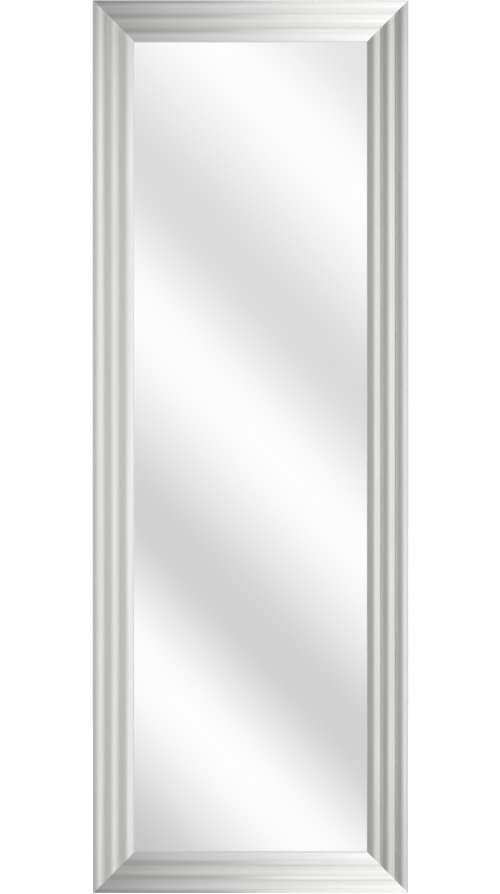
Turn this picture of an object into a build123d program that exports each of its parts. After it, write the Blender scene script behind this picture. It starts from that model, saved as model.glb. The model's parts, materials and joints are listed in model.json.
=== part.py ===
from build123d import *
import math
import os

# Tall framed wall mirror: four mitred, reeded mouldings round a silvered glass
# pane, closed at the back with foam, a backing board and driven metal points.
# It hangs from swinging D-rings, upright or lying on its side.
#
# Row frame: +X right and +Z up as seen from the front, the glass faces -Y, and
# the wall is the plane Y = 0.  The origin is the middle of that wall plane.
# Millimetres throughout.

# ---------------------------------------------------------------- driving sizes
W = 530.0            # overall width
H = 1500.0           # overall height
RAIL = 69.0          # face width of the moulding, outer edge to sight edge
PAD_T = 6.0          # bumper thickness: the mouldings' backs stand this far off the wall
CREST = 28.0         # height of the outermost reed above the moulding's back

# moulding face: three reeds at one pitch.  Each falls from its crest to a sharp
# valley, and the next one rises from there.  Stations are (distance, slope in
# degrees), and between two of them the face is an arc.
CREST_D = 9.6        # first crest, in from the outer edge
FALL = ((0.0, 0.0), (2.0, -3.0), (3.8, -19.0), (7.0, -21.0), (9.6, -28.5), (12.4, -48.0))
RISE = ((0.0, 25.0), (5.2, 32.0), (6.3, 29.0), (7.7, 18.0), (12.1, 0.0))
LAST_FALL = ((0.0, 0.0), (2.0, -7.0), (10.4, -14.5))
R_OUTER = 1.0        # rounding of the outer edge
R_SIGHT = 0.8        # rounding of the sight edge

# rebate and what lies in it (heights above the moulding's back)
REBATE_W = 7.0       # how far the rebate runs in behind the sight edge
LIP_H = 17.0         # underside of the lip
GLASS_T = 4.0
FOAM_T = 1.0
BOARD_T = 3.0
GLASS_CLEAR = 1.0    # gap round the glass, taken up by the edge spacers
BOARD_CLEAR = 0.5
GLASS_ARRIS = 0.4    # ground-off edge of the glass

# driven points that hold the back in
POINT_L, POINT_W, POINT_T, POINT_IN = 17.0, 9.0, 0.5, 9.0
POINTS_LONG = [-600.0, -400.0, -200.0, 0.0, 200.0, 400.0, 600.0]
POINTS_SHORT = [-130.0, 0.0, 130.0]

# corner wedges (V nails) driven into the mitres from behind
WEDGE_D = (26.0, 37.5, 49.0)     # along each rail's width
WEDGE_LEG, WEDGE_T, WEDGE_DEEP, WEDGE_PROUD = 5.0, 0.8, 10.0, 0.0

# hanger: folded strap, D-ring, two pan-head screws
SHEET = 1.0
STRAP_W, STRAP_L = 12.0, 30.0
WIRE_R = 1.25
EYE_CLEAR = 0.08
EYE_R = WIRE_R + EYE_CLEAR
PIVOT_H = EYE_R + SHEET          # pivot above the moulding's back
RING_HALF = 9.25                 # leg centre line from the middle
RING_LEG = 5.6                   # pivot to the centre of the arch
RING_CORNER = 2.5
RING_TOP = RING_LEG + RING_HALF
RING_REST_GAP = 0.15             # arch to moulding back, ring leaning in
SCREW_U = (-9.6, -24.0)          # screw places along the strap from the pivot
HOLE_R = 2.0
SHANK_R, SCREW_L = 1.75, 16.0
HEAD_R, HEAD_T = 3.2, 2.2

UP_X, UP_Z = 234.0, 560.0        # pivots of the two hangers for upright use
SIDE_D, SIDE_Z = 21.0, 400.0     # pivots of the two on the left stile: depth in, height

# bumpers
PAD_R, PAD_IN, PAD_EDGE = 6.0, 15.0, 0.8

# edge spacers round the glass
SPACER_L = 40.0
SPACERS_LONG = [-480.0, 480.0]
SPACERS_SHORT = [-120.0, 120.0]

OUT = "parts"
os.makedirs(OUT, exist_ok=True)


def rad(a):
    return math.radians(a)


def back(h):
    """Y of a height above the moulding's back."""
    return -PAD_T - h


# ---------------------------------------------------------------- moulding face
def arc_step(p, width, a0, a1):
    """Arc from p turning from angle a0 to a1 over that width: (middle, end)."""
    r = width / (math.sin(rad(a1)) - math.sin(rad(a0)))
    am = (a0 + a1) / 2
    mid = (p[0] + r * (math.sin(rad(am)) - math.sin(rad(a0))),
           p[1] + r * (math.cos(rad(a0)) - math.cos(rad(am))))
    end = (p[0] + width, p[1] + r * (math.cos(rad(a0)) - math.cos(rad(a1))))
    return mid, end


def face_arcs():
    """The reeded face from outer edge to sight edge as (start, middle, end)."""
    rise, fall = RISE[-1][0], FALL[-1][0]
    runs = []                       # smooth from valley to valley
    for i in range(3):
        crest = CREST_D + i * (rise + fall)
        down = LAST_FALL if i == 2 else FALL
        runs.append([(crest - rise + d, a) for d, a in RISE] + [(crest + d, a) for d, a in down[1:]])
    # the outer edge cuts into the first rise
    (d0, a0), (d1, a1) = runs[0][0], runs[0][1]
    cut = math.sin(rad(a0)) + (math.sin(rad(a1)) - math.sin(rad(a0))) * (0.0 - d0) / (d1 - d0)
    runs[0][0] = (0.0, math.degrees(math.asin(cut)))
    arcs, p, top = [], (0.0, 0.0), None
    for run in runs:
        for (d0, a0), (d1, a1) in zip(run, run[1:]):
            mid, end = arc_step(p, d1 - d0, a0, a1)
            arcs.append((p, mid, end))
            p = end
            if top is None and a1 == 0.0:
                top = end[1]
    return [tuple((d, h + CREST - top) for d, h in arc) for arc in arcs]


ARCS = face_arcs()
SIGHT_H = ARCS[-1][2][1]


def moulding(length, outer):
    """A moulding along Z, its outer side at x = -outer, both ends mitred."""
    def at(q):
        return (-outer + q[0], back(q[1]))

    edges = [Line(at((0, 0)), at(ARCS[0][0]))]
    edges += [ThreePointArc(at(a), at(m), at(b)) for a, m, b in ARCS]
    edges += [
        Line(at(ARCS[-1][2]), at((RAIL, LIP_H))),
        Line(at((RAIL, LIP_H)), at((RAIL - REBATE_W, LIP_H))),
        Line(at((RAIL - REBATE_W, LIP_H)), at((RAIL - REBATE_W, 0))),
        Line(at((RAIL - REBATE_W, 0)), at((0, 0))),
    ]
    section = make_face(Wire(edges).edges())

    def corner(q):
        x, y = at(q)
        return min(section.vertices(), key=lambda v: math.hypot(v.X - x, v.Y - y))

    section = fillet(corner(ARCS[0][0]), R_OUTER)
    section = fillet(
        [min(section.vertices(), key=lambda v: math.hypot(v.X - at(q)[0], v.Y - at(q)[1]))
         for q in (ARCS[-1][2], (RAIL, LIP_H))], R_SIGHT)
    bar = Pos(0, 0, -length / 2) * extrude(section, amount=length, dir=(0, 0, 1))
    half = length / 2
    trap = Plane.XZ * Polygon(
        (-outer - 1, -half - 1), (-outer + RAIL + 1, -half + RAIL + 1),
        (-outer + RAIL + 1, half - RAIL - 1), (-outer - 1, half + 1), align=None)
    block = extrude(trap, amount=80, both=True)
    return bar & block


left_stile = moulding(H, W / 2)
right_stile = Rot(0, 180, 0) * moulding(H, W / 2)
top_rail = Rot(0, 90, 0) * moulding(W, H / 2)
bottom_rail = Rot(0, -90, 0) * moulding(W, H / 2)

# ---------------------------------------------------------------- glass and back
open_w, open_h = W - 2 * RAIL + 2 * REBATE_W, H - 2 * RAIL + 2 * REBATE_W
glass_w, glass_h = open_w - 2 * GLASS_CLEAR, open_h - 2 * GLASS_CLEAR


def slab(w, h, low, high):
    """A sheet between two heights above the moulding's back."""
    return Pos(0, back((low + high) / 2), 0) * Box(w, high - low, h)


glass_low = LIP_H - GLASS_T
mirror_pane = slab(glass_w, glass_h, glass_low, LIP_H)
mirror_pane = chamfer(mirror_pane.edges().filter_by(Axis.Y, reverse=True), GLASS_ARRIS)
foam_low = glass_low - FOAM_T
foam_sheet = slab(glass_w, glass_h, foam_low, glass_low)
board_low = foam_low - BOARD_T
backing_board = slab(open_w - 2 * BOARD_CLEAR, open_h - 2 * BOARD_CLEAR, board_low, foam_low)
backing_board = fillet(backing_board.edges().filter_by(Axis.Y), 3.0)

spacers = []
for z in SPACERS_LONG:
    for s in (-1, 1):
        spacers.append(Pos(s * (glass_w + GLASS_CLEAR) / 2, back(LIP_H - GLASS_T / 2), z)
                       * Box(GLASS_CLEAR, GLASS_T, SPACER_L))
for x in SPACERS_SHORT:
    for s in (-1, 1):
        spacers.append(Pos(x, back(LIP_H - GLASS_T / 2), s * (glass_h + GLASS_CLEAR) / 2)
                       * Box(SPACER_L, GLASS_T, GLASS_CLEAR))

# ---------------------------------------------------------------- driven points
def one_point():
    """A driven point along +X: the tip in the wood, x = 0 at the rebate wall."""
    out = POINT_L - POINT_IN
    half = POINT_W / 2
    shape = Plane.XZ * Polygon(
        (-out, -half + 1.6), (-out + 1.6, -half), (POINT_IN - 3.5, -half),
        (POINT_IN, 0), (POINT_IN - 3.5, half), (-out + 1.6, half), (-out, half - 1.6),
        align=None)
    solid = extrude(shape, amount=POINT_T / 2, both=True)
    return Pos(0, back(board_low - POINT_T / 2), 0) * solid


points = []
for z in POINTS_LONG:
    points.append(Pos(open_w / 2, 0, z) * one_point())
    points.append(Pos(-open_w / 2, 0, z) * Rot(0, 180, 0) * one_point())
for x in POINTS_SHORT:
    points.append(Pos(x, 0, open_h / 2) * Rot(0, -90, 0) * one_point())
    points.append(Pos(x, 0, -open_h / 2) * Rot(0, 90, 0) * one_point())

# ---------------------------------------------------------------- corner wedges
def one_wedge():
    """A V nail with its point at the origin, opening along +X, driven along -Y."""
    c = WEDGE_LEG / math.sqrt(2)
    t = WEDGE_T * math.sqrt(2)
    shape = Plane.XZ * Polygon(
        (-t / 2, 0), (c - t / 4, c + t / 4), (c + t / 4, c - t / 4), (t / 2, 0),
        (c + t / 4, -c + t / 4), (c - t / 4, -c - t / 4), align=None)
    solid = extrude(shape, amount=(WEDGE_DEEP + WEDGE_PROUD) / 2, both=True)
    return Pos(0, back((WEDGE_DEEP - WEDGE_PROUD) / 2), 0) * solid


wedges = []
for sx in (-1, 1):
    for sz in (-1, 1):
        inward = math.degrees(math.atan2(-sz, -sx))
        for d in WEDGE_D:
            wedges.append(Pos(sx * (W / 2 - d), 0, sz * (H / 2 - d)) * Rot(0, -inward, 0) * one_wedge())

# ---------------------------------------------------------------- hangers
# Local frame of a hanger: the pivot's foot at the origin, +Z from pivot to ring,
# X along the pivot, +Y out of the moulding's back.
def strap():
    """Sheet folded round the ring's bar and back on itself, with two screw holes."""
    c = (0.0, PIVOT_H)
    ro, ri = EYE_R + SHEET, EYE_R
    meet = -6.0                                    # where the fold lies down again
    px, py = meet - c[0], 2 * SHEET - c[1]
    dist = math.hypot(px, py)
    slope = math.atan2(-py, -px) + math.asin(ro / dist)
    n = (-math.sin(slope), math.cos(slope))
    to = (c[0] + ro * n[0], c[1] + ro * n[1])
    ti = (c[0] + ri * n[0], c[1] + ri * n[1])
    run = (ti[1] - SHEET) / math.sin(slope)
    shut = (ti[0] - run * math.cos(slope), SHEET)

    def at(q):                                     # (along, height) -> local (z, y)
        return Vector(0, q[1], q[0])

    def arc(r, a0, a1):
        pts = [(c[0] + r * math.cos(a), c[1] + r * math.sin(a)) for a in (a0, (a0 + a1) / 2, a1)]
        return ThreePointArc(*[at(q) for q in pts])

    top = slope + math.pi / 2
    edges = [
        Line(at((-STRAP_L, 0)), at((0, 0))),
        arc(ro, -math.pi / 2, top),
        Line(at(to), at((meet, 2 * SHEET))),
        Line(at((meet, 2 * SHEET)), at((-STRAP_L, 2 * SHEET))),
        Line(at((-STRAP_L, 2 * SHEET)), at((-STRAP_L, 0))),
    ]
    inner = [
        arc(ri, -math.pi / 2, top),
        Line(at(ti), at(shut)),
        Line(at(shut), at((0, SHEET))),
    ]
    outer_face = make_face(Wire(edges).edges())
    inner_face = make_face(Wire(inner).edges())
    body = extrude(outer_face, amount=STRAP_W / 2, dir=(1, 0, 0), both=True) - extrude(
        inner_face, amount=STRAP_W / 2 + 1, dir=(1, 0, 0), both=True)
    end = [e for e in body.edges().filter_by(Axis.Y) if e.center().Z < -STRAP_L + 0.01]
    body = fillet(end, 3.0)
    for u in SCREW_U:
        body = body - Pos(0, SHEET, u) * Rot(90, 0, 0) * Cylinder(HOLE_R, 4 * SHEET)
    return body


def ring():
    """D-ring standing in the local XZ plane, its bar on the pivot line."""
    a, b, rc = RING_HALF, RING_LEG, RING_CORNER
    k = rc * (1 - math.sqrt(0.5))
    path = Wire([
        Line((-a + rc, 0, 0), (a - rc, 0, 0)),
        ThreePointArc((a - rc, 0, 0), (a - k, 0, k), (a, 0, rc)),
        Line((a, 0, rc), (a, 0, b)),
        ThreePointArc((a, 0, b), (0, 0, b + a), (-a, 0, b)),
        Line((-a, 0, b), (-a, 0, rc)),
        ThreePointArc((-a, 0, rc), (-a + k, 0, k), (-a + rc, 0, 0)),
    ])
    parts = []
    for e in path.edges():
        start, tangent = e @ 0, e % 0
        parts.append(sweep(Plane(origin=start, z_dir=tangent) * Circle(WIRE_R), path=Wire([e])))
    body = parts[0]
    for p in parts[1:]:
        body = body + p
    want = math.pi * WIRE_R ** 2 * path.length
    print("ring volume", round(body.volume, 2), "section times length", round(want, 2))
    return body


def screw():
    """Pan-head wood screw, its head's seat at the origin, pointing along -Y."""
    tip = 4.0
    prof = [
        Line((0, HEAD_T), (HEAD_R * 0.45, HEAD_T)),
        ThreePointArc((HEAD_R * 0.45, HEAD_T), (HEAD_R * 0.86, HEAD_T * 0.78), (HEAD_R, HEAD_T * 0.25)),
        Line((HEAD_R, HEAD_T * 0.25), (HEAD_R, 0)),
        Line((HEAD_R, 0), (SHANK_R, 0)),
        Line((SHANK_R, 0), (SHANK_R, -SCREW_L + tip)),
        Line((SHANK_R, -SCREW_L + tip), (0, -SCREW_L)),
        Line((0, -SCREW_L), (0, HEAD_T)),
    ]
    body = revolve(make_face(Wire(prof).edges()), axis=Axis.Y)
    for turn in (0, 90):
        body = body - Pos(0, HEAD_T, 0) * Rot(0, turn, 0) * Box(3.6, 2.6, 0.9)
    return body


REST_TILT = math.degrees(math.asin((PIVOT_H - WIRE_R - RING_REST_GAP) / RING_TOP))
LAID_TILT = math.degrees(math.asin((2 * SHEET + WIRE_R + RING_REST_GAP - PIVOT_H) / RING_TOP))
TRAVEL = 180.0 - LAID_TILT + REST_TILT
print("pivot height", round(PIVOT_H, 3), "rest tilt", round(REST_TILT, 3),
      "laid tilt", round(LAID_TILT, 3), "travel", round(TRAVEL, 3))

hangers = {
    "left": Pos(-UP_X, back(0), UP_Z),
    "right": Pos(UP_X, back(0), UP_Z),
    "side_upper": Pos(-W / 2 + SIDE_D, back(0), SIDE_Z) * Rot(0, -90, 0),
    "side_lower": Pos(-W / 2 + SIDE_D, back(0), -SIDE_Z) * Rot(0, -90, 0),
}
strap_shape, ring_shape, screw_shape = strap(), ring(), screw()
straps, rings, screws = {}, {}, []
for name, place in hangers.items():
    straps[name] = place * strap_shape
    rings[name] = place * Pos(0, PIVOT_H, 0) * Rot(REST_TILT, 0, 0) * ring_shape
    for u in SCREW_U:
        screws.append(place * Pos(0, 2 * SHEET, u) * screw_shape)

# ---------------------------------------------------------------- bumpers
pads = []
for sx in (-1, 1):
    for sz in (-1, 1):
        pad = Rot(90, 0, 0) * Cylinder(PAD_R, PAD_T)
        pad = Pos(sx * (W / 2 - PAD_IN), -PAD_T / 2, sz * (H / 2 - PAD_IN)) * pad
        rim = [e for e in pad.edges() if abs(e.center().Y) < 0.01]
        pads.append(fillet(rim, PAD_EDGE))

# ---------------------------------------------------------------- sockets in the wood
for tool in points + wedges + screws:
    box = tool.bounding_box()
    if box.min.X < -W / 2 + RAIL:
        left_stile = left_stile - tool
    if box.max.X > W / 2 - RAIL:
        right_stile = right_stile - tool
    if box.max.Z > H / 2 - RAIL:
        top_rail = top_rail - tool
    if box.min.Z < -H / 2 + RAIL:
        bottom_rail = bottom_rail - tool

nodes = {
    "left_stile": left_stile,
    "right_stile": right_stile,
    "top_rail": top_rail,
    "bottom_rail": bottom_rail,
    "mirror_pane": mirror_pane,
    "foam_sheet": foam_sheet,
    "backing_board": backing_board,
    "edge_spacers": Compound(children=[s for s in spacers]),
    "retaining_points": Compound(children=[s for s in points]),
    "corner_wedges": Compound(children=[s for s in wedges]),
    "hanger_screws": Compound(children=[s for s in screws]),
    "wall_bumpers": Compound(children=[s for s in pads]),
}
for name in hangers:
    nodes[f"hanger_strap_{name}"] = straps[name]
    nodes[f"hanger_ring_{name}"] = rings[name]

for name, shape in nodes.items():
    shape.label = name
    export_step(shape, os.path.join(OUT, name + ".step"))
print("sight edge height", round(SIGHT_H, 3), "nodes", len(nodes))
print("arcs", [[tuple(round(c, 3) for c in q) for q in a] for a in ARCS])
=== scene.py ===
import json
import math

import bmesh
import bpy
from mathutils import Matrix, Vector

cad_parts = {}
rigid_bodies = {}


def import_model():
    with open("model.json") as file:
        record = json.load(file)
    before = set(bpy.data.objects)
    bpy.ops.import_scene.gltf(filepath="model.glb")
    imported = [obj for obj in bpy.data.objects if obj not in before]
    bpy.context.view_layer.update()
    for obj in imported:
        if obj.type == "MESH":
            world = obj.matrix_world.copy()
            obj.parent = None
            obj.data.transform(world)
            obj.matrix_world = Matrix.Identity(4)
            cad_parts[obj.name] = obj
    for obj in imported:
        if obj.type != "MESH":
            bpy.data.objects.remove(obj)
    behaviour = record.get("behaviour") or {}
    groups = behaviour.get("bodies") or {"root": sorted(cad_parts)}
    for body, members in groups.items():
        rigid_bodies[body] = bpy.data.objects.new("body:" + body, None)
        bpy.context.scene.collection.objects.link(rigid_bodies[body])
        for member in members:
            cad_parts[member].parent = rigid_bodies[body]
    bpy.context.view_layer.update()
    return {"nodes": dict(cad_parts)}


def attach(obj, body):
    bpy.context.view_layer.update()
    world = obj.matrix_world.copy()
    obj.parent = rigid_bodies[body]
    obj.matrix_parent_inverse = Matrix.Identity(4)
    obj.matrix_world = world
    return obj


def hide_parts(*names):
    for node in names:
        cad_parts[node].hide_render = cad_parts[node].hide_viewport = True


# Metres.  +X right, +Z up, the glass faces -Y and the wall would be Y = 0.
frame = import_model()
nodes = frame["nodes"]

scene = bpy.context.scene
scene.view_settings.view_transform = "Standard"
scene.view_settings.look = "None"
scene.view_settings.exposure = 0.0
scene.view_settings.gamma = 1.0

MM = 0.001
W, H = 530.0, 1500.0
RAIL = 69.0
PAD_T = 6.0
CREST = 28.0
CREST_D = 9.6
FALL = ((0.0, 0.0), (2.0, -3.0), (3.8, -19.0), (7.0, -21.0), (9.6, -28.5), (12.4, -48.0))
RISE = ((0.0, 25.0), (5.2, 32.0), (6.3, 29.0), (7.7, 18.0), (12.1, 0.0))
LAST_FALL = ((0.0, 0.0), (2.0, -7.0), (10.4, -14.5))
R_OUTER, R_SIGHT = 1.0, 0.8
REBATE_W, LIP_H = 7.0, 17.0
FOIL_WRAP = 6.0        # how far the foil turns in over the back
FOIL_LIP = 2.5         # and over the underside of the lip
BACK_H = 0.04          # the driven fasteners stand this much proud of the back
MITRE_EASE = 0.12      # tiny rounding of the cut ends
GLASS_Y = -(PAD_T + LIP_H) * MM


# ------------------------------------------------------------------ materials
class Nodes:
    """Small helper round a material's node tree."""

    def __init__(self, name):
        self.mat = bpy.data.materials.new(name)
        self.mat.use_nodes = True
        self.tree = self.mat.node_tree
        self.tree.nodes.clear()
        self.out = self.tree.nodes.new("ShaderNodeOutputMaterial")
        self.bsdf = self.tree.nodes.new("ShaderNodeBsdfPrincipled")
        self.link(self.bsdf.outputs["BSDF"], self.out.inputs["Surface"])

    def link(self, a, b):
        self.tree.links.new(a, b)

    def new(self, kind, **sockets):
        n = self.tree.nodes.new(kind)
        for k, v in sockets.items():
            if k in n.inputs:
                n.inputs[k].default_value = v
            else:
                setattr(n, k, v)
        return n

    def coords(self, scale):
        """Object coordinates in metres, stretched per axis."""
        tc = self.new("ShaderNodeTexCoord")
        mp = self.new("ShaderNodeMapping")
        mp.inputs["Scale"].default_value = scale
        self.link(tc.outputs["Object"], mp.inputs["Vector"])
        return mp.outputs["Vector"]

    def noise(self, vector, scale=1.0, detail=2.0, rough=0.5, distortion=0.0):
        n = self.new("ShaderNodeTexNoise")
        n.inputs["Scale"].default_value = scale
        n.inputs["Detail"].default_value = detail
        n.inputs["Roughness"].default_value = rough
        n.inputs["Distortion"].default_value = distortion
        self.link(vector, n.inputs["Vector"])
        return n.outputs["Fac"]

    def span(self, value, lo, hi, a=0.0, b=1.0):
        """Maps value from lo..hi to a..b."""
        n = self.new("ShaderNodeMapRange")
        n.clamp = True
        n.inputs["From Min"].default_value = lo
        n.inputs["From Max"].default_value = hi
        n.inputs["To Min"].default_value = a
        n.inputs["To Max"].default_value = b
        self.link(value, n.inputs["Value"])
        return n.outputs["Result"]

    def math(self, op, a, b=None):
        n = self.new("ShaderNodeMath")
        n.operation = op
        for i, v in enumerate((a, b)):
            if v is None:
                continue
            if isinstance(v, (int, float)):
                n.inputs[i].default_value = v
            else:
                self.link(v, n.inputs[i])
        return n.outputs[0]

    def mix(self, fac, a, b, blend="MIX"):
        n = self.new("ShaderNodeMix")
        n.data_type = "RGBA"
        n.blend_type = blend
        for sock, v in ((n.inputs[0], fac), (n.inputs[6], a), (n.inputs[7], b)):
            if isinstance(v, (int, float)):
                sock.default_value = v
            elif isinstance(v, tuple):
                sock.default_value = (*v, 1.0) if len(v) == 3 else v
            else:
                self.link(v, sock)
        return n.outputs[2]

    def bump(self, height, strength, distance, after=None):
        n = self.new("ShaderNodeBump")
        n.inputs["Strength"].default_value = strength
        n.inputs["Distance"].default_value = distance
        self.link(height, n.inputs["Height"])
        if after is not None:
            self.link(after, n.inputs["Normal"])
        self.link(n.outputs["Normal"], self.bsdf.inputs["Normal"])
        return n.outputs["Normal"]

    def set(self, **values):
        for k, v in values.items():
            sock = self.bsdf.inputs[k.replace("_", " ")]
            if isinstance(v, (int, float)):
                sock.default_value = v
            elif isinstance(v, tuple):
                sock.default_value = (*v, 1.0) if len(v) == 3 else v
            else:
                self.link(v, sock)


FOIL_ROUGH, FOIL_ANISO = 0.42, 0.58
FOIL_COLOUR = (0.86, 0.86, 0.845)


def foil(name, along):
    """Brushed silver foil, its grain along 'X' or 'Z'."""
    m = Nodes(name)

    def grain(across, length, detail, rough=0.55, seed=0.0):
        s = [across, across, across]
        s["XYZ".index(along)] = length
        v = m.coords(tuple(s))
        if seed:
            shift = m.new("ShaderNodeVectorMath")
            shift.operation = "ADD"
            shift.inputs[1].default_value = (seed, seed * 1.7, seed * 2.3)
            m.link(v, shift.inputs[0])
            v = shift.outputs["Vector"]
        return m.noise(v, 1.0, detail, rough)

    hair = grain(3200.0, 14.0, 3.0, 0.6)                 # hairlines, 0.3 mm
    streak = grain(700.0, 5.0, 3.0, 0.6, 11.0)           # streaks, 1-2 mm
    band = grain(150.0, 1.6, 2.0, 0.5, 23.0)             # broad soft bands
    cloud = grain(9.0, 6.0, 2.0, 0.5, 37.0)              # handling, very faint
    tone = m.math("ADD", m.span(streak, 0.28, 0.72, -0.5, 0.5),
                  m.math("ADD", m.span(hair, 0.28, 0.72, -0.35, 0.35), m.span(band, 0.3, 0.7, -0.45, 0.45)))
    shade = m.span(tone, -1.0, 1.0, 0.0, 1.0)
    c = FOIL_COLOUR
    colour = m.mix(shade, tuple(v * 0.955 for v in c), tuple(min(1.0, v * 1.035) for v in c))
    # painted highlight: the foil is lightened to near white within a few mm of each mitre, broken up by the broad
    # bands, standing in for light caught by the cut ends
    gap = m.new("ShaderNodeAttribute")
    gap.attribute_name = "mitre_gap"
    edge = m.math("MULTIPLY", m.span(gap.outputs["Fac"], 1.1, 2.8, 1.0, 0.0), m.span(band, 0.25, 0.6, 0.7, 1.0))
    colour = m.mix(edge, colour, (1.0, 1.0, 0.99))
    rough = m.math("ADD", m.span(shade, 0.0, 1.0, FOIL_ROUGH + 0.05, FOIL_ROUGH - 0.05),
                   m.span(cloud, 0.35, 0.65, -0.012, 0.012))
    height = m.math("ADD", m.math("MULTIPLY", hair, 0.5), m.math("MULTIPLY", streak, 0.5))
    m.bump(height, 0.22, 0.00012)
    tangent = m.new("ShaderNodeTangent")
    tangent.direction_type = "UV_MAP"
    tangent.uv_map = "grain"
    m.set(Base_Color=colour, Metallic=1.0, Roughness=rough, Anisotropic=FOIL_ANISO)
    m.link(tangent.outputs["Tangent"], m.bsdf.inputs["Tangent"])
    return m.mat


def fibreboard():
    """Bare fibreboard, sawn and moulded: fine felted fibres."""
    m = Nodes("fibreboard")
    fine = m.noise(m.coords((2600.0, 2600.0, 2600.0)), 1.0, 4.0, 0.65)
    felt = m.noise(m.coords((420.0, 420.0, 420.0)), 1.0, 4.0, 0.7, 0.6)
    soft = m.noise(m.coords((22.0, 22.0, 14.0)), 1.0, 3.0, 0.5)
    base = m.mix(m.span(felt, 0.32, 0.68), (0.40, 0.285, 0.17), (0.56, 0.43, 0.285))
    base = m.mix(m.span(fine, 0.35, 0.65, 0.0, 0.30), base, (0.66, 0.54, 0.38))
    base = m.mix(m.span(soft, 0.35, 0.65, 0.0, 0.16), base, (0.34, 0.24, 0.15))
    h = m.math("ADD", m.math("MULTIPLY", fine, 0.6), m.math("MULTIPLY", felt, 0.4))
    m.bump(h, 0.5, 0.00015)
    m.set(Base_Color=base, Roughness=m.span(fine, 0.3, 0.7, 0.78, 0.92), Specular_IOR_Level=0.3)
    return m.mat


def hardboard():
    """Brown pressed hardboard, the smooth waxy side out."""
    m = Nodes("hardboard_brown")
    fleck = m.noise(m.coords((900.0, 900.0, 620.0)), 1.0, 4.0, 0.7, 0.4)
    cloud = m.noise(m.coords((16.0, 16.0, 9.0)), 1.0, 4.0, 0.55)
    fibre = m.noise(m.coords((260.0, 260.0, 90.0)), 1.0, 3.0, 0.6, 1.2)
    base = m.mix(m.span(cloud, 0.3, 0.7), (0.165, 0.092, 0.048), (0.235, 0.138, 0.076))
    base = m.mix(m.span(fleck, 0.55, 0.75, 0.0, 0.55), base, (0.34, 0.215, 0.125))
    base = m.mix(m.span(fibre, 0.58, 0.74, 0.0, 0.35), base, (0.10, 0.055, 0.03))
    m.bump(fleck, 0.25, 0.0001)
    m.set(Base_Color=base, Roughness=m.span(cloud, 0.3, 0.7, 0.42, 0.56), Specular_IOR_Level=0.4)
    return m.mat


def mirror():
    """Silvered glass: almost perfectly smooth, faintly cool."""
    m = Nodes("silvered_glass")
    haze = m.noise(m.coords((5.0, 5.0, 3.0)), 1.0, 3.0, 0.5)
    m.set(Base_Color=m.mix(m.span(haze, 0.3, 0.7), (0.958, 0.961, 0.960), (0.967, 0.969, 0.968)),
          Metallic=1.0, Roughness=m.span(haze, 0.3, 0.7, 0.0, 0.012))
    m.bsdf.inputs["Coat Weight"].default_value = 0.25
    m.bsdf.inputs["Coat Roughness"].default_value = 0.0
    return m.mat


def steel(name, colour, rough, scale, spread=0.06, stain=0.0):
    """Plated or rolled steel with fine drawn lines and faint blotches."""
    m = Nodes(name)
    line = m.noise(m.coords(scale), 1.0, 3.0, 0.6)
    blot = m.noise(m.coords((240.0, 240.0, 240.0)), 1.0, 4.0, 0.6, 0.4)
    dark = tuple(v * 0.82 for v in colour)
    base = m.mix(m.span(line, 0.3, 0.7), dark, colour)
    base = m.mix(m.span(blot, 0.45, 0.7, 0.0, 0.25 + stain), base, tuple(v * 0.7 for v in colour))
    m.bump(line, 0.2, 0.00004)
    m.set(Base_Color=base, Metallic=1.0,
          Roughness=m.math("ADD", m.span(line, 0.3, 0.7, rough - spread, rough + spread),
                           m.span(blot, 0.35, 0.65, -0.04, 0.06)))
    return m.mat


def rubber():
    """Soft pale rubber, slightly see-through at its rim."""
    m = Nodes("pale_rubber")
    dust = m.noise(m.coords((1500.0, 1500.0, 1500.0)), 1.0, 4.0, 0.7)
    base = m.mix(m.span(dust, 0.4, 0.75), (0.70, 0.70, 0.68), (0.60, 0.595, 0.57))
    m.bump(dust, 0.25, 0.00008)
    m.set(Base_Color=base, Roughness=m.span(dust, 0.3, 0.7, 0.48, 0.62), Specular_IOR_Level=0.45)
    m.bsdf.inputs["Subsurface Weight"].default_value = 0.25
    m.bsdf.inputs["Subsurface Radius"].default_value = (0.002, 0.002, 0.0018)
    m.bsdf.inputs["Subsurface Scale"].default_value = 1.0
    return m.mat


def foam():
    """White closed-cell packing foam, seen only at its edge."""
    m = Nodes("white_foam")
    v = m.new("ShaderNodeTexVoronoi")
    v.inputs["Scale"].default_value = 1.0
    m.link(m.coords((1200.0, 1200.0, 1200.0)), v.inputs["Vector"])
    d = v.outputs["Distance"]
    m.bump(d, 0.4, 0.0002)
    m.set(Base_Color=m.mix(m.span(d, 0.0, 0.7), (0.80, 0.80, 0.79), (0.90, 0.90, 0.89)), Roughness=0.8)
    return m.mat


def plastic():
    """Off-white strip plastic."""
    m = Nodes("spacer_white")
    n = m.noise(m.coords((900.0, 900.0, 900.0)), 1.0, 3.0, 0.6)
    m.bump(n, 0.15, 0.00005)
    m.set(Base_Color=m.mix(m.span(n, 0.3, 0.7), (0.74, 0.74, 0.71), (0.80, 0.80, 0.77)),
          Roughness=m.span(n, 0.3, 0.7, 0.45, 0.6))
    return m.mat


# ------------------------------------------------------------------ moulding section
def rad(a):
    return math.radians(a)


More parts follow.
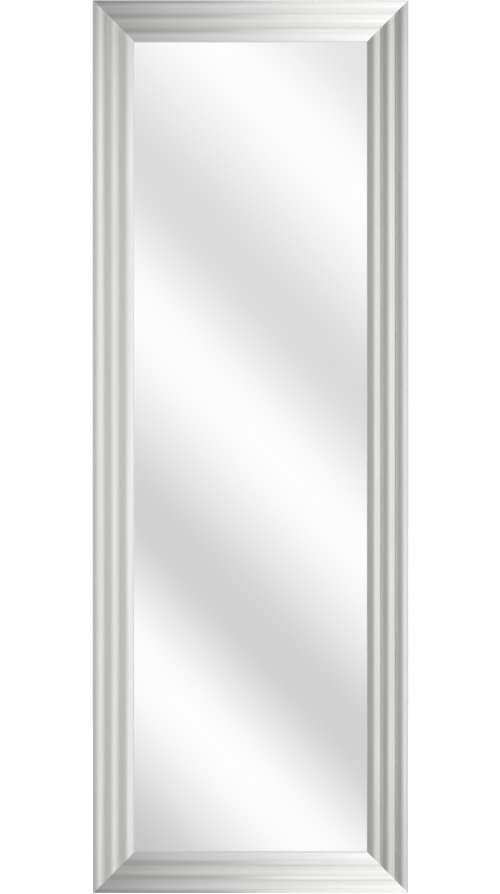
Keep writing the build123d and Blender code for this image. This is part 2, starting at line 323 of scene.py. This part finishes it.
def section():
    """The moulding's outline as rows (d, h, nd, nh, cover, sharp), anticlockwise
    from the outer back corner.  d runs in from the outer edge and h forward from
    the moulding's back; (nd, nh) is the outward normal, cover the finish of the
    strip that starts at this point and sharp marks a hard edge."""
    rows = []

    def add(d, h, ang, cover, sharp=False):
        rows.append([d, h, math.cos(rad(ang)), math.sin(rad(ang)), cover, sharp])

    # face arcs, slopes in degrees, positive rising away from the outer edge
    rise, fall = RISE[-1][0], FALL[-1][0]
    runs = []
    for i in range(3):
        crest = CREST_D + i * (rise + fall)
        down = LAST_FALL if i == 2 else FALL
        runs.append([(crest - rise + d, a) for d, a in RISE] + [(crest + d, a) for d, a in down[1:]])
    (d0, a0), (d1, a1) = runs[0][0], runs[0][1]
    cut = math.sin(rad(a0)) + (math.sin(rad(a1)) - math.sin(rad(a0))) * (0.0 - d0) / (d1 - d0)
    a_edge = math.degrees(math.asin(cut))
    runs[0][0] = (0.0, a_edge)
    arcs, p, top = [], [0.0, 0.0], None
    for run in runs:
        for n, ((d0, a0), (d1, a1)) in enumerate(zip(run, run[1:])):
            r = (d1 - d0) / (math.sin(rad(a1)) - math.sin(rad(a0)))
            arcs.append((tuple(p), r, a0, a1, n == 0 and d0 > 0.0))
            p[0], p[1] = d1, p[1] + r * (math.cos(rad(a0)) - math.cos(rad(a1)))
            if top is None and a1 == 0.0:
                top = p[1]
    lift = CREST - top
    arcs = [((q[0], q[1] + lift), r, a0, a1, c) for q, r, a0, a1, c in arcs]
    sight = (p[0], p[1] + lift)
    a_sight = -LAST_FALL[-1][1]

    # outer side up to the rounded outer edge
    start = arcs[0][0]
    turn = 90.0 - a_edge
    t = R_OUTER * math.tan(rad(turn) / 2)
    add(0.0, BACK_H, 180.0, "foil", True)
    for k in range(1, 8):
        add(0.0, (start[1] - t) * k / 8, 180.0, "foil")
    cx, cy = R_OUTER, start[1] - t
    for k in range(7):
        a = 180.0 - turn * k / 6
        add(cx + R_OUTER * math.cos(rad(a)), cy + R_OUTER * math.sin(rad(a)), a, "foil")
    skip = R_OUTER * (1 - math.sin(rad(a_edge))) + 0.02
    t2 = R_SIGHT * math.tan(rad(90.0 - a_sight) / 2)

    for q, r, a0, a1, crease in arcs:
        steps = max(3, int(abs(a1 - a0) / 1.6))
        for k in range(steps):
            a = a0 + (a1 - a0) * k / steps
            d = q[0] + r * (math.sin(rad(a)) - math.sin(rad(a0)))
            h = q[1] + r * (math.cos(rad(a0)) - math.cos(rad(a)))
            if d < skip or d > RAIL - t2 * math.cos(rad(a_sight)) - 0.02:
                continue
            sharp = crease and k == 0
            add(d, h, 90.0 + ((a0 + FALL[-1][1]) / 2 if sharp else a), "foil", sharp)
    # rounded sight edge, down its side, rounded under-edge
    cx = RAIL - R_SIGHT
    cy = sight[1] - t2
    for k in range(7):
        a = (90.0 - a_sight) * (1 - k / 6)
        add(cx + R_SIGHT * math.cos(rad(a)), cy + R_SIGHT * math.sin(rad(a)), a, "foil")
    for k in range(7):
        a = -90.0 * k / 6
        add(cx + R_SIGHT * math.cos(rad(a)), LIP_H + R_SIGHT + R_SIGHT * math.sin(rad(a)), a, "foil")
    add(RAIL - FOIL_LIP, LIP_H, -90.0, "bare")
    add(RAIL - REBATE_W, LIP_H, -45.0, "bare", True)
    for k in range(1, 5):
        add(RAIL - REBATE_W, LIP_H * (1 - k / 5), 0.0, "bare")
    add(RAIL - REBATE_W, BACK_H, -45.0, "bare", True)
    for k in range(1, 8):
        add(RAIL - REBATE_W - (RAIL - REBATE_W - FOIL_WRAP) * k / 8, BACK_H, -90.0, "bare")
    add(FOIL_WRAP, BACK_H, -90.0, "foil")
    rows[0][2:4] = [-math.sqrt(0.5), -math.sqrt(0.5)]
    return rows, sight


SECTION, SIGHT = section()


def rail(name, length, outer, place, mats):
    """One moulding as its own mesh.  place maps (d, h, s) to a point, where s
    runs along the moulding from its middle."""
    n = len(SECTION)
    arc = [0.0]
    for i in range(1, n + 1):
        a, b = SECTION[i - 1], SECTION[i % n]
        arc.append(arc[-1] + math.hypot(b[0] - a[0], b[1] - a[1]))

    half = length / 2
    ease = MITRE_EASE
    stations = []                     # (function of d giving s, shrink)
    stations.append((lambda d: -(half - d), ease))
    stations.append((lambda d: -(half - d) + ease * 0.3, ease * 0.3))
    stations.append((lambda d: -(half - d) + ease, 0.0))
    cuts = max(4, int(length / 90))
    for k in range(cuts + 1):
        u = -1 + 2 * k / cuts
        stations.append((lambda d, u=u: u * (half - d - 6.0), 0.0))
    stations.append((lambda d: (half - d) - ease, 0.0))
    stations.append((lambda d: (half - d) - ease * 0.3, ease * 0.3))
    stations.append((lambda d: (half - d), ease))

    verts, along, gaps = [], [], []
    for f, shrink in stations:
        for d, h, nd, nh, _, _ in SECTION:
            dd, hh = d - nd * shrink, h - nh * shrink
            s = f(dd)
            verts.append(place(dd, hh, s))
            along.append(s)
            gaps.append(half - dd - abs(s))
    faces, covers, uvs = [], [], []
    for j in range(len(stations) - 1):
        for i in range(n):
            k = (i + 1) % n
            a, b = j * n + i, j * n + k
            c, e = (j + 1) * n + k, (j + 1) * n + i
            faces.append((a, e, c, b))
            covers.append(0 if SECTION[i][4] == "foil" else 1)
            ui, uk = arc[i], arc[i + 1]
            uvs.append(((ui, along[a]), (ui, along[e]), (uk, along[c]), (uk, along[b])))
    last = (len(stations) - 1) * n
    faces.append(tuple(range(n)))
    covers.append(1)
    uvs.append(tuple((arc[i], along[i]) for i in range(n)))
    faces.append(tuple(last + i for i in reversed(range(n))))
    covers.append(1)
    uvs.append(tuple((arc[i], along[last + i]) for i in reversed(range(n))))

    me = bpy.data.meshes.new(name)
    me.from_pydata([Vector(v) * MM for v in verts], [], faces)
    me.update()
    me.attributes.new("mitre_gap", "FLOAT", "POINT").data.foreach_set("value", gaps)
    layer = me.uv_layers.new(name="grain")
    for poly, uv in zip(me.polygons, uvs):
        for li, (a, b) in zip(poly.loop_indices, uv):
            layer.data[li].uv = (a * MM, b * MM)
    for poly, c in zip(me.polygons, covers):
        poly.material_index = c
        poly.use_smooth = True
    sharp = me.attributes.new("sharp_edge", "BOOLEAN", "EDGE") if "sharp_edge" not in me.attributes else me.attributes["sharp_edge"]
    hard = {i for i in range(n) if SECTION[i][5]}
    for e in me.edges:
        a, b = e.vertices
        same = a % n == b % n and a % n in hard
        cap = (a // n == b // n) and a // n in (0, 1, 2, len(stations) - 3, len(stations) - 2, len(stations) - 1)
        sharp.data[e.index].value = same or cap
    for m in mats:
        me.materials.append(m)
    ob = bpy.data.objects.new(name, me)
    scene.collection.objects.link(ob)
    return ob


def y_of(h):
    return -(PAD_T + h)


mat_foil_z = foil("silver_foil_upright", "Z")
mat_foil_x = foil("silver_foil_level", "X")
mat_bare = fibreboard()

RAILS = {
    "left_stile": (H, lambda d, h, s: (-W / 2 + d, y_of(h), s), mat_foil_z, True),
    "right_stile": (H, lambda d, h, s: (W / 2 - d, y_of(h), s), mat_foil_z, False),
    "top_rail": (W, lambda d, h, s: (s, y_of(h), H / 2 - d), mat_foil_x, True),
    "bottom_rail": (W, lambda d, h, s: (s, y_of(h), -H / 2 + d), mat_foil_x, False),
}
for node, (length, place, skin, flip) in RAILS.items():
    ob = rail(node + "_moulding", length, 0.0, place, (skin, mat_bare))
    if flip:
        ob.data.flip_normals()
    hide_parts(node)
    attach(ob, "root")

# ------------------------------------------------------------------ CAD pieces' finishes
FINISH = {
    "mirror_pane": mirror(),
    "foam_sheet": foam(),
    "backing_board": hardboard(),
    "edge_spacers": plastic(),
    "retaining_points": steel("rolled_steel", (0.52, 0.52, 0.53), 0.38, (2200.0, 300.0, 2200.0), stain=0.2),
    "corner_wedges": steel("wedge_steel", (0.46, 0.46, 0.47), 0.40, (1600.0, 1600.0, 1600.0), stain=0.2),
    "hanger_screws": steel("zinc_screw", (0.70, 0.70, 0.71), 0.27, (1500.0, 1500.0, 1500.0)),
    "wall_bumpers": rubber(),
}
strap_mat = steel("zinc_strap", (0.72, 0.72, 0.735), 0.30, (1800.0, 1800.0, 260.0))
ring_mat = steel("nickel_wire", (0.80, 0.79, 0.77), 0.16, (900.0, 900.0, 900.0), 0.03)
for node in nodes:
    if node.startswith("hanger_strap"):
        FINISH[node] = strap_mat
    elif node.startswith("hanger_ring"):
        FINISH[node] = ring_mat
for node, mat in FINISH.items():
    ob = nodes[node]
    ob.data.materials.clear()
    ob.data.materials.append(mat)

# ------------------------------------------------------------------ camera
PX = H / 892.85 * MM               # one pixel of the 500 x 894 frame at the mirror
LENS, SENSOR = 150.0, 36.0
FACE_Y = y_of(25.0) * MM
distance = 894 * PX / 2 / (SENSOR / 2 / LENS)
cam_data = bpy.data.cameras.new("camera")
cam_data.lens, cam_data.sensor_width = LENS, SENSOR
cam_data.clip_start, cam_data.clip_end = 0.05, 100.0
cam = bpy.data.objects.new("camera", cam_data)
cam.location = (-0.45 * PX, FACE_Y - distance, -0.28 * PX)
cam.rotation_euler = (math.radians(90), 0, 0)
scene.collection.objects.link(cam)
scene.camera = cam

# ------------------------------------------------------------------ studio
# soft light for the mouldings: one wide diffuser each, graded from left to right
# as (x, brightness)
LEFT_STOPS = ((-2.1, 0.12), (-1.5, 0.05), (-0.9, 0.63), (-0.3, 0.70), (0.3, 1.28), (0.6, 1.20), (0.9, 0.63), (1.2, 0.08))
RIGHT_STOPS = ((-2.25, 2.60), (-1.8, 1.38), (-1.5, 0.53), (-1.2, 0.06), (0.0, 0.20), (0.6, 0.83), (1.2, 1.02), (1.5, 0.93), (2.1, 0.08))
LEVEL_STOPS = ((-0.3, 0.0), (-0.15, 0.50), (0.0, 0.60), (0.3, 1.17), (0.45, 1.13), (0.75, 0.67), (1.05, 0.06))
CREST_STOPS = ((-0.45, 0.45), (0.0, 0.37), (0.45, 0.36))


def plane(name, centre, normal, up, w, h):
    """A stage rectangle; its local X and Y run along its width and height."""
    me = bpy.data.meshes.new(name)
    me.from_pydata([(-w / 2, -h / 2, 0), (w / 2, -h / 2, 0), (w / 2, h / 2, 0), (-w / 2, h / 2, 0)], [], [(0, 1, 2, 3)])
    ob = bpy.data.objects.new(name, me)
    ob.location = centre
    ob.rotation_mode = "QUATERNION"
    ob.rotation_quaternion = Vector(normal).to_track_quat("Z", "Y")
    scene.collection.objects.link(ob)
    return ob


def softbox(name, place, w, h, radiance, aim=(0.0, -0.03, 0.0), colour=(1, 1, 1)):
    light = bpy.data.lights.new(name, "AREA")
    light.shape = "RECTANGLE"
    light.size, light.size_y = w, h
    light.energy = radiance * w * h * math.pi
    light.color = colour
    ob = bpy.data.objects.new(name, light)
    ob.location = place
    ob.rotation_mode = "QUATERNION"
    ob.rotation_quaternion = (Vector(aim) - Vector(place)).to_track_quat("-Z", "Y")
    ob.visible_camera = False
    scene.collection.objects.link(ob)
    return ob


# floor: a plain white sweep that reads as pure white with a soft contact shadow
floor = plane("floor", (0, 0, -H / 2 * MM - 0.0004), (0, 0, 1), "Y", 60.0, 60.0)
m = Nodes("floor_white")
m.set(Base_Color=(0.9, 0.9, 0.9), Roughness=0.9, Specular_IOR_Level=0.1)
m.bsdf.inputs["Emission Color"].default_value = (1, 1, 1, 1)
m.bsdf.inputs["Emission Strength"].default_value = 0.90
floor.data.materials.append(m.mat)
floor.visible_glossy = False
floor.visible_diffuse = False

# card in front, with soft slanting bands of light, that the glass shows
CARD_Y = -3.2
cam_gap = GLASS_Y - cam.location.y
card_gap = GLASS_Y - CARD_Y
grow = 1 + card_gap / cam_gap
BAND_SLOPE = 1.06                                   # pixels down per pixel right
BAND_PERIOD, BAND_WHITE, BAND_SKEW = 350.0, 165.0, 0.3   # a regular soft banding
BAND_TOP, BAND_DEPTH, BAND_GROWTH = 0.97, 0.135, 0.0001
card = plane("band_card", (0, CARD_Y, 0), (0, 1, 0), "Z", 0.9 * grow, 1.6 * grow)
m = Nodes("band_light")
tc = m.new("ShaderNodeTexCoord")
sep = m.new("ShaderNodeSeparateXYZ")
geo = m.new("ShaderNodeNewGeometry")
m.link(geo.outputs["Position"], sep.inputs[0])
# back from the card to the pixel of the frame whose reflection it is
centre_x, centre_z = cam.location.x, cam.location.z
px_x = m.math("ADD", m.math("MULTIPLY", m.math("SUBTRACT", sep.outputs["X"], centre_x), 1 / (grow * PX * cam_gap / distance)), 250.0)
px_y = m.math("SUBTRACT", 447.0, m.math("MULTIPLY", m.math("SUBTRACT", sep.outputs["Z"], centre_z), 1 / (grow * PX * cam_gap / distance)))
s = m.math("SUBTRACT", px_y, m.math("MULTIPLY", px_x, BAND_SLOPE))
turn = m.math("MULTIPLY", m.math("SUBTRACT", s, BAND_WHITE), 2 * math.pi / BAND_PERIOD)
skewed = m.math("SUBTRACT", turn, m.math("MULTIPLY", m.math("SUBTRACT", 1.0, m.math("COSINE", turn)), BAND_SKEW / 2))
dip = m.math("SUBTRACT", 1.0, m.math("COSINE", skewed))
depth = m.math("ADD", m.math("MULTIPLY", s, BAND_GROWTH), BAND_DEPTH)
level = m.math("SUBTRACT", BAND_TOP, m.math("MULTIPLY", dip, depth))
em = m.new("ShaderNodeEmission")
CARD_GAIN = 1.0 / 0.96
m.link(m.math("MULTIPLY", level, CARD_GAIN), em.inputs["Strength"])
m.link(em.outputs[0], m.out.inputs["Surface"])
card.data.materials.append(m.mat)
card.visible_camera = False
card.visible_shadow = False
card.visible_diffuse = False

world = bpy.data.worlds.new("studio")
scene.world = world
world.use_nodes = True
wt = world.node_tree
wt.nodes.clear()
wo = wt.nodes.new("ShaderNodeOutputWorld")
bg_light = wt.nodes.new("ShaderNodeBackground")
bg_light.inputs["Color"].default_value = (1, 1, 1, 1)
bg_light.inputs["Strength"].default_value = 0.15
bg_seen = wt.nodes.new("ShaderNodeBackground")
bg_seen.inputs["Color"].default_value = (1, 1, 1, 1)
bg_seen.inputs["Strength"].default_value = 1.0
path = wt.nodes.new("ShaderNodeLightPath")
mixer = wt.nodes.new("ShaderNodeMixShader")
wt.links.new(path.outputs["Is Camera Ray"], mixer.inputs[0])
wt.links.new(bg_light.outputs[0], mixer.inputs[1])
wt.links.new(bg_seen.outputs[0], mixer.inputs[2])
wt.links.new(mixer.outputs[0], wo.inputs["Surface"])

# each light shines only on the mouldings it is named for
def group(name, names):
    c = bpy.data.collections.new(name)
    for n in names:
        c.objects.link(bpy.data.objects[n])
    return c


def graded_box(name, y, z, h, stops, seen_by, gain=1.0):
    x0, x1 = stops[0][0], stops[-1][0]
    ob = softbox(name, ((x0 + x1) / 2, y, z), x1 - x0, h, 1.0, ((x0 + x1) / 2, 0.0, z))
    light = ob.data
    light.use_nodes = True
    t = light.node_tree
    t.nodes.clear()
    out = t.nodes.new("ShaderNodeOutputLight")
    em = t.nodes.new("ShaderNodeEmission")
    ramp = t.nodes.new("ShaderNodeValToRGB")
    place = t.nodes.new("ShaderNodeMapRange")
    sep = t.nodes.new("ShaderNodeSeparateXYZ")
    geo = t.nodes.new("ShaderNodeNewGeometry")
    t.links.new(geo.outputs["Position"], sep.inputs[0])
    t.links.new(sep.outputs["X"], place.inputs["Value"])
    place.inputs["From Min"].default_value = x0
    place.inputs["From Max"].default_value = x1
    t.links.new(place.outputs["Result"], ramp.inputs["Fac"])
    peak = max(v for _, v in stops)
    ramp.color_ramp.interpolation = "LINEAR"
    els = ramp.color_ramp.elements
    while len(els) < len(stops):
        els.new(0.5)
    for e, (x, v) in zip(els, stops):
        e.position = (x - x0) / (x1 - x0)
        e.color = (v / peak, v / peak, v / peak, 1)
    t.links.new(ramp.outputs["Color"], em.inputs["Color"])
    em.inputs["Strength"].default_value = peak * gain
    t.links.new(em.outputs[0], out.inputs["Surface"])
    ob.light_linking.receiver_collection = seen_by
    return ob


left_only = group("left_moulding", ["left_stile_moulding"])
right_only = group("right_moulding", ["right_stile_moulding"])
level_only = group("level_mouldings", ["top_rail_moulding", "bottom_rail_moulding"])
glass_only = group("glass", [nodes["mirror_pane"].name])
card.light_linking.receiver_collection = glass_only

graded_box("front_left", -1.2, -0.06, 2.1, LEFT_STOPS, left_only, 1.04)
graded_box("front_right", -1.2, -0.10, 2.2, RIGHT_STOPS, right_only, 1.02)
graded_box("front_level", -0.8, 0.0, 4.1, LEVEL_STOPS, level_only)
for end, z in (("upper", 1), ("lower", -1)):
    graded_box("crest_" + end, -0.795, 0.62 * z, 0.35, CREST_STOPS, level_only)
    for side, x, level in (("left", -0.3, 0.12 if z > 0 else 0.25), ("right", 0.3, 1.4 if z > 0 else 2.1)):
        graze = softbox(f"graze_{end}_{side}", (x, -0.2, 1.25 * z), 0.6, 0.2, level, (x, -0.03, 0.7 * z))
        graze.light_linking.receiver_collection = level_only
softbox("side_right", (1.0, -0.35, 0.0), 0.3, 2.0, 1.12)
softbox("side_left", (-1.0, -0.35, 0.0), 0.3, 2.0, 0.80)
softbox("back_fill", (0.6, 2.3, 1.9), 3.0, 2.2, 2.0)
softbox("back_low", (-0.8, 2.6, -0.9), 2.2, 1.6, 0.6)

# pale surroundings with the same slanting bands, which the glass shows from every
# other side; see-through to all else
dome = bmesh.new()
bmesh.ops.create_icosphere(dome, subdivisions=5, radius=9.0)
me = bpy.data.meshes.new("surroundings")
dome.to_mesh(me)
dome.free()
dome = bpy.data.objects.new("surroundings", me)
scene.collection.objects.link(dome)
m = Nodes("surroundings")
geo = m.new("ShaderNodeNewGeometry")
sep = m.new("ShaderNodeSeparateXYZ")
m.link(geo.outputs["Position"], sep.inputs[0])
s = m.math("ADD", sep.outputs["Z"], m.math("MULTIPLY", sep.outputs["X"], BAND_SLOPE))
wave = m.math("SINE", m.math("ADD", m.math("MULTIPLY", s, 2 * math.pi / 2.6), 0.6))
em = m.new("ShaderNodeEmission")
m.link(m.span(wave, -1.0, 1.0, 0.60, 0.92), em.inputs["Strength"])
clear = m.new("ShaderNodeBsdfTransparent")
both = m.new("ShaderNodeAddShader")
m.link(em.outputs[0], both.inputs[0])
m.link(clear.outputs[0], both.inputs[1])
m.link(both.outputs[0], m.out.inputs["Surface"])
m.mat.cycles.emission_sampling = "NONE"
me.materials.append(m.mat)
for p in me.polygons:
    p.use_smooth = True
dome.visible_camera = False
dome.visible_shadow = False
dome.light_linking.receiver_collection = glass_only
